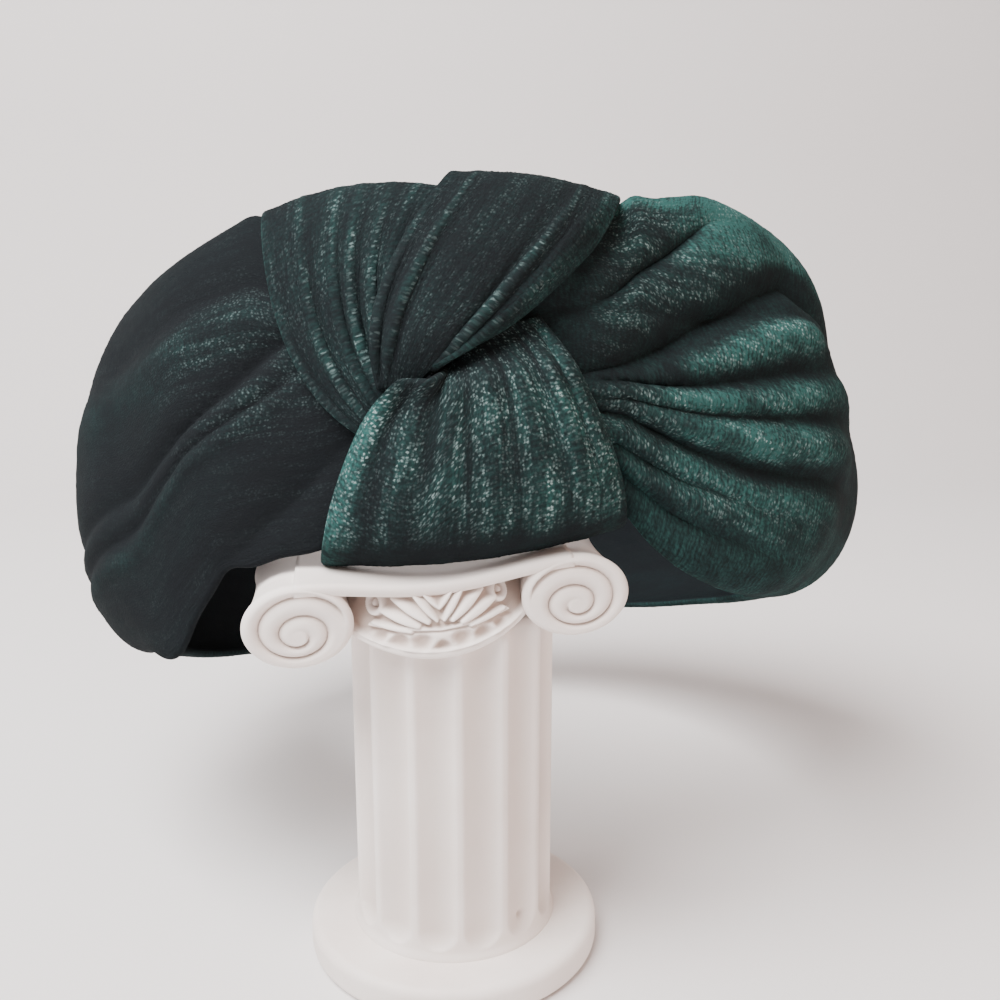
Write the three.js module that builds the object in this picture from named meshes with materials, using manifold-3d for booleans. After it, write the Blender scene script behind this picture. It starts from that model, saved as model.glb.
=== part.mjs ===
// Top knot headband of gathered velvet, standing on a small plaster column.
// Millimetres, +Z up. The knot faces -Y, and the origin is the centre of the column's foot.
import * as THREE from 'three';
import { mergeVertices } from 'three/addons/utils/BufferGeometryUtils.js';
import Module from 'manifold-3d';

// Velvet: two layers sewn together make one wall
const WALL = 2;
const SEAM_GAP = 0.3;

// Ring that the band follows round the head, high at the knot and low at the back
const RING = { halfWidth: 75, halfDepth: 70, centreX: 5.5, centreY: 66, height: 88.7, tilt: 35.5, sag: 3 };
const LEAN = THREE.MathUtils.degToRad(12);

// Sections of the band by angle from the knot, in degrees. Rise and drop are the reach above and
// below the ring, bulge is the puff outwards, and over and under are how far the two hems turn in.
const LEFT_SECTIONS = [
  { angle: 0, rise: 22, drop: 22, bulge: 2, over: 70, under: 70 },
  { angle: 14, rise: 27, drop: 29.5, bulge: 3, over: 72, under: 66 },
  { angle: 26, rise: 30.7, drop: 30.4, bulge: 4.5, over: 80, under: 56 },
  { angle: 34, rise: 34.3, drop: 33, bulge: 8.5, over: 90, under: 54 },
  { angle: 39, rise: 33.2, drop: 31.2, bulge: 10.8, over: 95, under: 54 },
  { angle: 48, rise: 33, drop: 40, bulge: 11, over: 100, under: 57 },
  { angle: 58, rise: 34.8, drop: 46, bulge: 11.5, over: 100, under: 63 },
  { angle: 70, rise: 36.8, drop: 41.5, bulge: 15.8, over: 100, under: 80 },
  { angle: 92, rise: 36, drop: 37, bulge: 20.2, over: 100, under: 100 },
  { angle: 130, rise: 32, drop: 37, bulge: 15, over: 100, under: 100 },
  { angle: 180, rise: 24, drop: 24, bulge: 8, over: 95, under: 95 },
];
const RIGHT_SECTIONS = [
  { angle: 0, rise: 22, drop: 22, bulge: 2, over: 70, under: 70 },
  { angle: 14, rise: 26, drop: 21.5, bulge: 3, over: 72, under: 72 },
  { angle: 22, rise: 30.5, drop: 22, bulge: 4, over: 78, under: 76 },
  { angle: 25, rise: 37.5, drop: 25, bulge: 5, over: 80, under: 80 },
  { angle: 28, rise: 39, drop: 27.8, bulge: 6.2, over: 82, under: 84 },
  { angle: 34, rise: 40.8, drop: 32.2, bulge: 9.6, over: 90, under: 92 },
  { angle: 44, rise: 41.5, drop: 36.4, bulge: 15.8, over: 100, under: 100 },
  { angle: 56, rise: 43.4, drop: 36.9, bulge: 22.2, over: 100, under: 100 },
  { angle: 70, rise: 42.2, drop: 33.8, bulge: 23.2, over: 100, under: 100 },
  { angle: 92, rise: 37.4, drop: 29.2, bulge: 30, over: 100, under: 100 },
  { angle: 130, rise: 31, drop: 26, bulge: 15, over: 100, under: 100 },
  { angle: 180, rise: 24, drop: 24, bulge: 8, over: 95, under: 95 },
];

// Gathers that run out of the knot along the band. A gather's line crosses the band from near to
// far between the angles start and end, faster at first where bend is over 1, and fades out at the
// angle called reach. Places across the band go from -1 at the lower hem to 1 at the upper one.
const LEFT_GATHERS = [
  { near: 0.8, far: 0.24, start: 18, end: 55, bend: 2, height: 1.6, width: 0.12, reach: 95 },
  { near: 0.45, far: -0.04, start: 20, end: 60, bend: 1.3, height: -2.8, width: 0.1, reach: 105 },
  { near: 0.3, far: -0.18, start: 20, end: 64, bend: 1.3, height: 2.2, width: 0.1, reach: 105 },
  { near: 0.16, far: -0.3, start: 20, end: 64, bend: 1.4, height: -4.2, width: 0.08, reach: 110 },
  { near: 0.04, far: -0.42, start: 20, end: 66, bend: 1.4, height: 2, width: 0.1, reach: 105 },
];
const RIGHT_GATHERS = [
  { near: 0.15, far: 0.7, start: 14, end: 32, bend: 1, height: -2.6, width: 0.09, reach: 48 },
  { near: -0.17, far: 0.36, start: 14, end: 50, bend: 1, height: -5.5, width: 0.1, reach: 92 },
  { near: -0.22, far: 0.19, start: 16, end: 50, bend: 1.7, height: 2, width: 0.09, reach: 85 },
  { near: -0.28, far: 0.03, start: 16, end: 50, bend: 2, height: -3.2, width: 0.08, reach: 85 },
  { near: -0.4, far: -0.07, start: 16, end: 54, bend: 2, height: 2, width: 0.09, reach: 85 },
  { near: -0.52, far: -0.2, start: 16, end: 54, bend: 2, height: -3, width: 0.08, reach: 85 },
  { near: -0.6, far: -0.32, start: 16, end: 52, bend: 2, height: 2, width: 0.09, reach: 80 },
  { near: -0.72, far: -0.44, start: 16, end: 46, bend: 2, height: -2.8, width: 0.08, reach: 75 },
];
const BAND_COLUMNS = 28;
const BAND_ROWS = 25;
const BAND_CROWDING = 1.35;
const GATHER_SWELL = 14;
const GATHER_FADE = 0.55;

// Knot: its own leaning plane at the front of the ring, bent back at the sides
const KNOT_BEND = 75;
const KNOT_SQUARENESS = 2.4;

// Folds of the knot. Each is a belt from its tip at the crossing, over the rim, to its inner end.
// An edge is a curve through tip, middle and rim, each across and up from the knot's centre.
const LEFT_FOLD = {
  left: { tip: [-20, -16.5], middle: [-35.5, 0.5], rim: [-42, 30.2] },
  right: { tip: [-9, -10], middle: [-12, 13], rim: [-2, 31.7] },
  crown: 2.9, front: 9.4, back: 6.5, end: 6, roll: [0.8, 0],
  tips: [{ place: 0, lift: 0, dive: 0 }, { place: 1, lift: 0, dive: 0 }],
  pleats: [
    { place: 0.03, height: 1, width: 0.05 },
    { place: 0.16, height: -1, width: 0.05 },
    { place: 0.26, height: 1, width: 0.06 },
    { place: 0.37, height: -1, width: 0.05 },
    { place: 0.47, height: 1, width: 0.06 },
    { place: 0.58, height: -1, width: 0.05 },
  ],
};
const UPPER_FOLD = {
  left: { tip: [-19.5, -3.2], middle: [-18, 13], rim: [-5, 35.2] },
  right: { tip: [-8.5, -3.2], middle: [11.5, 11], rim: [29.5, 32] },
  crown: 1.2, front: 14, back: 10.5, end: 6, roll: [0.5, 3],
  tips: [
    { place: 0, lift: -3.5, dive: 1.9 },
    { place: 0.6, lift: -3.5, dive: 1.9 },
    { place: 0.85, lift: -0.5, dive: 1.2 },
    { place: 1, lift: 0, dive: 0.8 },
  ],
  pleats: [
    { place: 0.03, height: 0.8, width: 0.05 },
    { place: 0.13, height: -0.8, width: 0.05 },
    { place: 0.22, height: 1, width: 0.05 },
    { place: 0.5, height: 0.8, width: 0.2 },
    { place: 0.76, height: -1, width: 0.06 },
    { place: 0.86, height: 1, width: 0.05 },
  ],
};
const LOWER_FOLD = {
  left: { tip: [-15.5, -5], middle: [-23.8, -16.5], rim: [-31.5, -38.6] },
  right: { tip: [11.5, 5], middle: [22.5, -12.5], rim: [29.2, -32.3] },
  crown: -2.6, front: 14, back: 6.5, end: -10, roll: [1.9, 1.9],
  tips: [
    { place: 0, lift: 0, dive: -1.4 },
    { place: 0.13, lift: -1.2, dive: -1.4 },
    { place: 0.25, lift: -2.2, dive: -1.4 },
    { place: 0.36, lift: 0, dive: 5 },
    { place: 0.5, lift: 4, dive: 6 },
    { place: 1, lift: 3, dive: 6 },
  ],
  pleats: [
    { place: 0.04, height: 1.2, width: 0.05 },
    { place: 0.14, height: -1.2, width: 0.05 },
    { place: 0.25, height: 0.8, width: 0.05 },
    { place: 0.36, height: -0.8, width: 0.05 },
    { place: 0.48, height: 0.8, width: 0.05 },
    { place: 0.6, height: -0.7, width: 0.05 },
    { place: 0.72, height: 0.8, width: 0.05 },
    { place: 0.85, height: -0.9, width: 0.05 },
    { place: 0.95, height: 0.9, width: 0.05 },
  ],
};
const FOLD_COLUMNS = 22;
const FOLD_ROWS = 15;
const FOLD_CROWDING = 1.2;
const FOLD_NARROWING = 0.35;
const ROLL_WIDTH = 0.14;
const ROLL_START = 0.25;
const ROLL_FULL = 0.6;
const DIVE_LENGTH = 0.3;
const RIM_PLEAT = 0.35;
const RIM_FADE = 0.65;

// Column: a round foot, a fluted shaft and a capital with two scrolls, cast in one. The capital
// sits a little off the shaft's axis, low on the left, and the column is turned under the knot.
const SLAB_TOP = 86.4;
const COLUMN_TURN = THREE.MathUtils.degToRad(3);
const CAPITAL_SHIFT = -4.5;
const CAPITAL_TILT = THREE.MathUtils.degToRad(-4.3);
const FOOT = { radius: 31.3, thickness: 7, round: 2 };
const SHAFT = { radius: 21.2, flutes: 14, fluteDepth: 1.6 };
const NECK = { radius: 23.5, bottom: 71.5, round: 4 };
const SLAB = { width: 54, depth: 36, thickness: 6, round: 2 };
const SCROLL = { across: 20.5, tall: 15.8, depth: 37, offset: 26.8, top: 88.9 };

const VELVET = { color: 0x0c3a33, roughness: 0.85, metalness: 0 };
const PLASTER = { color: 0xeee6e2, roughness: 0.55, metalness: 0 };

const { clamp, lerp, smoothstep, degToRad } = THREE.MathUtils;

// Smooth curve through one column of a table, level at both ends
function column(rows, key, name, at) {
  const last = rows.length - 1;
  let i = 0;
  while (i < last - 1 && at > rows[i + 1][key]) i += 1;
  const slope = (k) => {
    if (k === 0 || k === last) return 0;
    return (rows[k + 1][name] - rows[k - 1][name]) / (rows[k + 1][key] - rows[k - 1][key]);
  };
  const span = rows[i + 1][key] - rows[i][key];
  const t = clamp((at - rows[i][key]) / span, 0, 1);
  return (1 + 2 * t) * (1 - t) ** 2 * rows[i][name] + t * (1 - t) ** 2 * span * slope(i)
    + t * t * (3 - 2 * t) * rows[i + 1][name] - t * t * (1 - t) * span * slope(i + 1);
}

// Bell-shaped crease, 1 at its middle
function crease(at, middle, width) {
  return Math.exp(-(((at - middle) / width) ** 2));
}

// Place on the ring, with the directions along it, up across the band and out of it.
// The band's top leans in at the front and out at the back.
function ringFrame(angle) {
  const { halfWidth, halfDepth, centreX, centreY, height, tilt, sag } = RING;
  const sin = Math.sin(angle);
  const cos = Math.cos(angle);
  const rise = height + tilt * cos + sag * Math.cos(2 * angle);
  const climb = -tilt * sin - 2 * sag * Math.sin(2 * angle);
  const point = new THREE.Vector3(centreX + halfWidth * sin, centreY - halfDepth * cos, rise);
  const along = new THREE.Vector3(halfWidth * cos, halfDepth * sin, climb).normalize();
  const up = new THREE.Vector3(sin / halfWidth, -cos / halfDepth, 0).cross(along).normalize();
  up.applyAxisAngle(along, -LEAN * cos);
  const out = along.clone().cross(up);
  return { point, along, up, out };
}

// Closed wall with an outer and an inner skin joined along their four borders.
// skin(across, along, face) gives a point, with across and along from 0 to 1 and face 1 or -1.
function wall(columns, rows, skin) {
  const points = [];
  for (const face of [1, -1]) {
    for (let i = 0; i <= columns; i += 1) {
      for (let j = 0; j <= rows; j += 1) points.push(skin(i / columns, j / rows, face));
    }
  }
  const at = (side, i, j) => (side * (columns + 1) + i) * (rows + 1) + j;
  const faces = [];
  const quad = (a, b, c, d) => faces.push(a, b, c, a, c, d);
  for (let i = 0; i < columns; i += 1) {
    for (let j = 0; j < rows; j += 1) {
      quad(at(0, i, j), at(0, i + 1, j), at(0, i + 1, j + 1), at(0, i, j + 1));
      quad(at(1, i, j), at(1, i, j + 1), at(1, i + 1, j + 1), at(1, i + 1, j));
    }
    quad(at(0, i + 1, 0), at(0, i, 0), at(1, i, 0), at(1, i + 1, 0));
    quad(at(0, i, rows), at(0, i + 1, rows), at(1, i + 1, rows), at(1, i, rows));
  }
  for (let j = 0; j < rows; j += 1) {
    quad(at(0, 0, j), at(0, 0, j + 1), at(1, 0, j + 1), at(1, 0, j));
    quad(at(0, columns, j + 1), at(0, columns, j), at(1, columns, j), at(1, columns, j + 1));
  }
  return facingOut(points, faces);
}

// Geometry of a closed mesh, turned so that its faces point out
function facingOut(points, faces) {
  let volume = 0;
  for (let k = 0; k < faces.length; k += 3) {
    const [a, b, c] = [points[faces[k]], points[faces[k + 1]], points[faces[k + 2]]];
    volume += a.dot(b.clone().cross(c)) / 6;
  }
  const geometry = new THREE.BufferGeometry().setFromPoints(points);
  geometry.setIndex(volume < 0 ? faces.reverse() : faces);
  geometry.computeVertexNormals();
  return geometry;
}

// Half of the band, from its gathered end under the knot to the seam at the back.
// Each section is an arch from hem to hem, and the gathers ride on it along its own normal.
function bandSkin(sections, gathers, side) {
  const gap = THREE.MathUtils.radToDeg(SEAM_GAP / 2 / RING.halfWidth);
  return (across, along, face) => {
    const angle = lerp(gap, 180 - gap, along ** BAND_CROWDING);
    const place = 2 * across - 1;
    const value = (name) => column(sections, 'angle', name, angle);
    const over = degToRad(value('over'));
    const curl = place > 0 ? over : degToRad(value('under'));
    const turn = place * curl;
    const reach = (place > 0 ? value('rise') : value('drop')) / Math.sin(Math.min(curl, Math.PI / 2));
    const puff = value('bulge') / (1 - Math.cos(over));
    let offset = face * WALL / 2;
    for (const gather of gathers) {
      const run = clamp((angle - gather.start) / (gather.end - gather.start), 0, 1);
      const line = lerp(gather.near, gather.far, 1 - (1 - run) ** gather.bend);
      const swell = smoothstep(angle, 0, gather.start + GATHER_SWELL);
      const fade = 1 - smoothstep(angle, GATHER_FADE * gather.reach, gather.reach);
      offset += gather.height * swell * fade * crease(place, line, gather.width);
    }
    const normal = new THREE.Vector2(reach * Math.cos(turn), puff * Math.sin(turn)).normalize();
    const outward = puff * (Math.cos(turn) - Math.cos(over)) + offset * normal.x;
    const upward = reach * Math.sin(turn) + offset * normal.y;
    const { point, up, out } = ringFrame(side * degToRad(angle));
    return point.addScaledVector(up, upward).addScaledVector(out, outward);
  };
}

// Point on an edge of a fold: the parabola through its tip, middle and rim
function edgePoint({ tip, middle, rim }, t) {
  const bend = (k) => 2 * middle[k] - (tip[k] + rim[k]) / 2;
  const value = (k) => (1 - t) ** 2 * tip[k] + 2 * t * (1 - t) * bend(k) + t * t * rim[k];
  return [value(0), value(1)];
}

// Fold of the knot: the front sheet runs from the crossing to the rim, and the belt then turns
// over the rim and down inside. Its section is a rounded square, and pleats ride on its normal.
function foldSkin(fold) {
  const { point: centre, along: side, up, out } = ringFrame(0);
  return (across, along, face) => {
    const way = 2 * along ** FOLD_CROWDING;
    const inside = Math.max(way - 1, 0);
    const t = 1 - (1 - Math.min(way, 1)) ** 2;
    const [leftX, leftY] = edgePoint(fold.left, t);
    const [rightX, rightY] = edgePoint(fold.right, t);
    const crown = fold.crown * 4 * across * (1 - across);
    const rim = lerp(fold.left.rim[1], fold.right.rim[1], across) + crown;
    const lift = column(fold.tips, 'place', 'lift', across) * (1 - t) ** 4;
    const front = lerp(leftY, rightY, across) + crown * t * t + lift;
    const height = inside > 0 ? lerp(rim, fold.end, inside * inside) : front;
    const sideways = lerp(leftX, rightX, across) * (1 - FOLD_NARROWING * inside);

    const depth = inside > 0 ? -fold.back : fold.front;
    const level = Math.min(Math.abs(height / rim), 1);
    const arch = (1 - level ** KNOT_SQUARENESS) ** (1 / KNOT_SQUARENESS);
    const power = KNOT_SQUARENESS - 1;
    const normal = new THREE.Vector2(arch ** power / depth, Math.sign(height) * level ** power / Math.abs(rim));
    normal.normalize();

    const dive = column(fold.tips, 'place', 'dive', across) * (1 - smoothstep(t, 0, DIVE_LENGTH));
    const nearLeft = Math.max(1 - across / ROLL_WIDTH, 0);
    const nearRight = Math.max(1 - (1 - across) / ROLL_WIDTH, 0);
    const rolled = fold.roll[0] * nearLeft ** 2 + fold.roll[1] * nearRight ** 2;
    const roll = rolled * smoothstep(t, ROLL_START, ROLL_FULL);
    let offset = face * WALL / 2 - dive - roll;
    const toRim = lerp(1, RIM_PLEAT, smoothstep(t, RIM_FADE, 1)) * (1 - inside);
    const swell = smoothstep(t, 0, DIVE_LENGTH) * toRim;
    for (const { place, height: ridge, width } of fold.pleats) {
      offset += ridge * swell * crease(across, place, width);
    }
    const outward = depth * arch + offset * normal.x - sideways ** 2 / (2 * KNOT_BEND);
    const upward = height + offset * normal.y;
    return centre.clone().addScaledVector(side, sideways)
      .addScaledVector(up, upward).addScaledVector(out, outward);
  };
}

const wasm = await Module();
wasm.setup();

// Solid of a closed geometry, with shared corners merged and sliver faces dropped
function solid(geometry) {
  const bare = geometry.clone();
  bare.deleteAttribute('normal');
  bare.deleteAttribute('uv');
  const merged = mergeVertices(bare, 1e-4);
  const corners = merged.index.array;
  const faces = [];
  for (let k = 0; k < corners.length; k += 3) {
    const [a, b, c] = corners.slice(k, k + 3);
    if (a !== b && b !== c && c !== a) faces.push(a, b, c);
  }
  const points = Array.from({ length: merged.attributes.position.count }, (_, k) => (
    new THREE.Vector3().fromBufferAttribute(merged.attributes.position, k)));
  const outer = facingOut(points, faces);
  return new wasm.Manifold(new wasm.Mesh({
    numProp: 3,
    vertProperties: outer.attributes.position.array,
    triVerts: Uint32Array.from(outer.index.array),
  }));
}

// Round piece on the column's axis from a profile of [radius, height] pairs
function turned(profile, sides) {
  const points = profile.map(([radius, height]) => new THREE.Vector2(radius, height));
  return solid(new THREE.LatheGeometry(points, sides).rotateX(Math.PI / 2));
}

// Rounded rectangle, centred
function roundedRectangle(width, depth, round) {
  const [x, y] = [width / 2 - round, depth / 2 - round];
  const shape = new THREE.Shape();
  shape.absarc(x, y, round, 0, Math.PI / 2);
  shape.absarc(-x, y, round, Math.PI / 2, Math.PI);
  shape.absarc(-x, -y, round, Math.PI, 1.5 * Math.PI);
  shape.absarc(x, -y, round, 1.5 * Math.PI, 2 * Math.PI);
  return shape;
}

// Outline of the fluted shaft: round ridges with a shallow hollow between each two
function flutedOutline() {
  const pointsPerFlute = 5;
  const count = SHAFT.flutes * pointsPerFlute;
  const points = Array.from({ length: count }, (_, k) => {
    const angle = 2 * Math.PI * k / count;
    const hollow = Math.sqrt(Math.abs(Math.sin(SHAFT.flutes * angle / 2)));
    const radius = SHAFT.radius - SHAFT.fluteDepth * hollow;
    return new THREE.Vector2(radius * Math.cos(angle), radius * Math.sin(angle));
  });
  return new THREE.Shape(points);
}

// Foot, shaft, neck, scrolls and slab joined into one casting
function columnGeometry() {
  const flat = { bevelEnabled: false, curveSegments: 4 };
  const { radius, thickness, round } = FOOT;
  const foot = turned([
    [0, 0], [radius - round, 0], [radius, round], [radius, thickness - round],
    [radius - round, thickness], [0, thickness],
  ], 36);
  const shaftTop = NECK.bottom + NECK.round;
  const shaft = solid(new THREE.ExtrudeGeometry(flutedOutline(), { ...flat, depth: shaftTop - thickness / 2 })
    .translate(0, 0, thickness / 2));
  const slabBottom = SLAB_TOP - SLAB.thickness;
  const neckTop = slabBottom + SLAB.thickness / 2;
  const neck = turned([
    [0, NECK.bottom], [NECK.radius - NECK.round, NECK.bottom], [NECK.radius, NECK.bottom + NECK.round],
    [NECK.radius, neckTop], [0, neckTop],
  ], 36);
  const slab = new THREE.ExtrudeGeometry(
    roundedRectangle(SLAB.width, SLAB.depth, SLAB.round), { ...flat, depth: SLAB.thickness },
  ).translate(0, 0, -SLAB.thickness);
  const roll = new THREE.Shape().absellipse(0, 0, SCROLL.across / 2, SCROLL.tall / 2, 0, 2 * Math.PI);
  const scrolls = [-1, 1].map((end) => (
    new THREE.ExtrudeGeometry(roll, { ...flat, curveSegments: 24, depth: SCROLL.depth })
      .translate(0, 0, -SCROLL.depth / 2).rotateX(Math.PI / 2)
      .translate(end * SCROLL.offset, 0, SCROLL.top - SLAB_TOP - SCROLL.tall / 2)));
  const capital = [slab, ...scrolls].map((geometry) => (
    solid(geometry.rotateY(CAPITAL_TILT).translate(CAPITAL_SHIFT, 0, SLAB_TOP))));
  const cast = [shaft, neck, ...capital].reduce((whole, piece) => whole.add(piece), foot);
  const mesh = cast.getMesh();
  const geometry = new THREE.BufferGeometry();
  geometry.setAttribute('position', new THREE.BufferAttribute(Float32Array.from(mesh.vertProperties), 3));
  geometry.setIndex(Array.from(mesh.triVerts));
  return geometry;
}

function piece(name, geometry, finish) {
  const mesh = new THREE.Mesh(geometry, new THREE.MeshStandardMaterial(finish));
  mesh.name = name;
  return mesh;
}

const bandGeometry = (sections, gathers, side) => (
  wall(BAND_COLUMNS, BAND_ROWS, bandSkin(sections, gathers, side)));
const foldGeometry = (fold) => wall(FOLD_COLUMNS, FOLD_ROWS, foldSkin(fold));

const headband = new THREE.Group();
headband.add(
  piece('left_band', bandGeometry(LEFT_SECTIONS, LEFT_GATHERS, -1), VELVET),
  piece('right_band', bandGeometry(RIGHT_SECTIONS, RIGHT_GATHERS, 1), VELVET),
  piece('knot_left_fold', foldGeometry(LEFT_FOLD), VELVET),
  piece('knot_upper_fold', foldGeometry(UPPER_FOLD), VELVET),
  piece('knot_lower_fold', foldGeometry(LOWER_FOLD), VELVET),
);

const stand = piece('column_stand', columnGeometry(), PLASTER);
stand.rotation.z = COLUMN_TURN;

const assembly = new THREE.Group();
assembly.add(headband, stand);

export default assembly;
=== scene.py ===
from collections import namedtuple

import bpy
import numpy as np
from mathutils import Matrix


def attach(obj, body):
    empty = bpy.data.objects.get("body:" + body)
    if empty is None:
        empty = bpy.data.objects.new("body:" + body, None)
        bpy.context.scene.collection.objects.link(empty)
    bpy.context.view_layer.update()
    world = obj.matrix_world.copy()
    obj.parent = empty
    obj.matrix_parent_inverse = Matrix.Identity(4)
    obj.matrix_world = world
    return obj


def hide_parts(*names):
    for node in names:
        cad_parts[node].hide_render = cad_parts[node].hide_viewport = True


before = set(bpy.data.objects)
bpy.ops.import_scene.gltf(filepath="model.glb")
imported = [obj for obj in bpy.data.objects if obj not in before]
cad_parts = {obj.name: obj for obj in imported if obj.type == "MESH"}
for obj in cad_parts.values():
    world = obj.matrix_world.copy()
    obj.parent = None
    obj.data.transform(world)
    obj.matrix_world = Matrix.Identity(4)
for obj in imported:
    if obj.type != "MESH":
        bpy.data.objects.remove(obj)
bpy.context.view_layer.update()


# Column stand, foot: a thick round disc with soft edges, the bottom of a column cast in one from
# white plaster. It is the only thing that touches the table.
MM = 0.001
FOOT_RADIUS = 31.3
FOOT_THICKNESS = 7
FOOT_ROUND = 2.0
FOOT_SIDES = 128
COLUMN_TURN = np.radians(3)
PLASTER_CLOUD = (0.80, 0.72, 0.68, 1)
PLASTER_WHITE = (0.91, 0.85, 0.82, 1)
# Colour of the painted shade and dust in the recesses
PLASTER_SHADE_AND_DUST = (0.50, 0.40, 0.35, 1)


def plaster_material():
    """White plaster: a faint cloudy tint that turns darker and warmer where the pit attribute is high, as
    painted shade and dust in the recesses, with a fine grain and pin holes as bump."""
    material = bpy.data.materials.new("plaster")
    material.use_nodes = True
    nodes, links = material.node_tree.nodes, material.node_tree.links
    shader = nodes["Principled BSDF"]
    shader.inputs["Specular IOR Level"].default_value = 0.35
    place = nodes.new("ShaderNodeTexCoord").outputs["Object"]

    cloud = nodes.new("ShaderNodeTexNoise")
    cloud.inputs["Scale"].default_value = 45
    cloud.inputs["Detail"].default_value = 4
    links.new(place, cloud.inputs["Vector"])
    tint = nodes.new("ShaderNodeValToRGB")
    tint.color_ramp.elements[0].position = 0.3
    tint.color_ramp.elements[0].color = PLASTER_CLOUD
    tint.color_ramp.elements[1].position = 0.7
    tint.color_ramp.elements[1].color = PLASTER_WHITE
    links.new(cloud.outputs["Fac"], tint.inputs["Fac"])
    # Painted shade and dust: the tint turns darker and warmer where the pit attribute is high
    pit = nodes.new("ShaderNodeAttribute")
    pit.attribute_name = "pit"
    shade_and_dust = nodes.new("ShaderNodeMix")
    shade_and_dust.data_type = "RGBA"
    shade_and_dust.inputs["B"].default_value = PLASTER_SHADE_AND_DUST
    links.new(pit.outputs["Fac"], shade_and_dust.inputs["Factor"])
    links.new(tint.outputs["Color"], shade_and_dust.inputs["A"])
    links.new(shade_and_dust.outputs["Result"], shader.inputs["Base Color"])

    polish = nodes.new("ShaderNodeMapRange")
    polish.inputs["To Min"].default_value = 0.42
    polish.inputs["To Max"].default_value = 0.62
    links.new(cloud.outputs["Fac"], polish.inputs["Value"])
    links.new(polish.outputs["Result"], shader.inputs["Roughness"])

    grain = nodes.new("ShaderNodeTexNoise")
    grain.inputs["Scale"].default_value = 900
    grain.inputs["Detail"].default_value = 3
    links.new(place, grain.inputs["Vector"])
    holes = nodes.new("ShaderNodeTexVoronoi")
    holes.inputs["Scale"].default_value = 160
    links.new(place, holes.inputs["Vector"])
    rim = nodes.new("ShaderNodeMapRange")
    rim.inputs["From Min"].default_value = 0.02
    rim.inputs["From Max"].default_value = 0.09
    links.new(holes.outputs["Distance"], rim.inputs["Value"])
    height = nodes.new("ShaderNodeMath")
    height.operation = "MULTIPLY_ADD"
    height.inputs[1].default_value = 0.35
    links.new(grain.outputs["Fac"], height.inputs[0])
    links.new(rim.outputs["Result"], height.inputs[2])
    bump = nodes.new("ShaderNodeBump")
    bump.inputs["Strength"].default_value = 0.25
    bump.inputs["Distance"].default_value = 0.0003
    links.new(height.outputs["Value"], bump.inputs["Height"])
    links.new(bump.outputs["Normal"], shader.inputs["Normal"])
    return material


plaster = plaster_material()


def add_mesh(name, points, faces, finish):
    """Smooth-shaded mesh object at the origin, from points in millimetres and lists of corners."""
    mesh = bpy.data.meshes.new(name)
    mesh.from_pydata(points * MM, [], faces)
    mesh.shade_smooth()
    mesh.materials.append(finish)
    obj = bpy.data.objects.new(name, mesh)
    bpy.context.scene.collection.objects.link(obj)
    return obj


def cast_body(name, rings, pit=0.0):
    """Closed piece of the casting from a stack of rings: quads between rings and a flat face at each end.
    The stack is turned with the column about its axis. Each point carries how deep in a pit it lies, which
    the plaster turns into painted shade and dust."""
    count, sides = rings.shape[:2]
    corner = np.arange(count * sides).reshape(count, sides)
    after = np.roll(corner, -1, axis=1)
    quads = np.stack([corner[:-1], after[:-1], after[1:], corner[1:]], -1).reshape(-1, 4)
    faces = [*quads.tolist(), corner[0, ::-1].tolist(), corner[-1].tolist()]
    x, y, z = np.moveaxis(rings.reshape(-1, 3), -1, 0)
    cos, sin = np.cos(COLUMN_TURN), np.sin(COLUMN_TURN)
    body = add_mesh(name, np.stack([x * cos - y * sin, x * sin + y * cos, z], -1), faces, plaster)
    # The pit value, shown as painted shade and dust in the plaster
    carried = body.data.attributes.new("pit", "FLOAT", "POINT")
    carried.data.foreach_set("value", np.broadcast_to(pit, (count, sides)).astype(np.float32).ravel())
    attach(body, "root")
    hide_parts("column_stand")


def round_the_axis(radius, height, sides):
    """Rings about the column's axis: a row of radius and height for each ring, a column for each side."""
    angle = 2 * np.pi * np.arange(sides) / sides
    radius, height, angle = np.broadcast_arrays(radius, height, angle)
    return np.stack([radius * np.cos(angle), radius * np.sin(angle), height], -1)


quarter = np.linspace(0, np.pi / 2, 9)
foot_radius = np.concatenate([
    [FOOT_RADIUS - 2 * FOOT_ROUND],
    FOOT_RADIUS - FOOT_ROUND + FOOT_ROUND * np.sin(quarter),
    FOOT_RADIUS - FOOT_ROUND + FOOT_ROUND * np.cos(quarter),
    [FOOT_RADIUS - 2 * FOOT_ROUND, FOOT_RADIUS / 2],
])
foot_height = np.concatenate([
    [0],
    FOOT_ROUND - FOOT_ROUND * np.cos(quarter),
    FOOT_THICKNESS - FOOT_ROUND + FOOT_ROUND * np.sin(quarter),
    [FOOT_THICKNESS, FOOT_THICKNESS],
])
cast_body("column_foot", round_the_axis(foot_radius[:, None], foot_height[:, None], FOOT_SIDES))


# Column stand, shaft: the fluted drum between foot and capital. Its hollows end in round scoops
# above the foot, and the ridges between them are soft, as a plaster cast leaves them.
SHAFT_RADIUS = 21.2
SHAFT_TOP = 77
SHAFT_DRAWN_IN, DRAW_LENGTH = 0.8, 3
FLUTES = 14
FLUTE_PHASE = np.radians(11)
FLUTE_DEPTH = 1.7
FLUTE_HALF_WIDTH = 4.0
FLUTE_END = 13
FLUTE_FULLNESS = 0.8
SCOOP_TOP = 18
SWELLING, SWELLING_LENGTH = 0.8, 1.2
PIT_ANGLE, PIT_HEIGHT, PIT_RADIUS, PIT_DEPTH = np.radians(-50.6), 12.5, 0.8, 1.4
# Share of painted shade and dust at the deepest part of a flute
FLUTE_SHADE_AND_DUST = 0.35
SHAFT_SIDES = 20 * FLUTES


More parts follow.
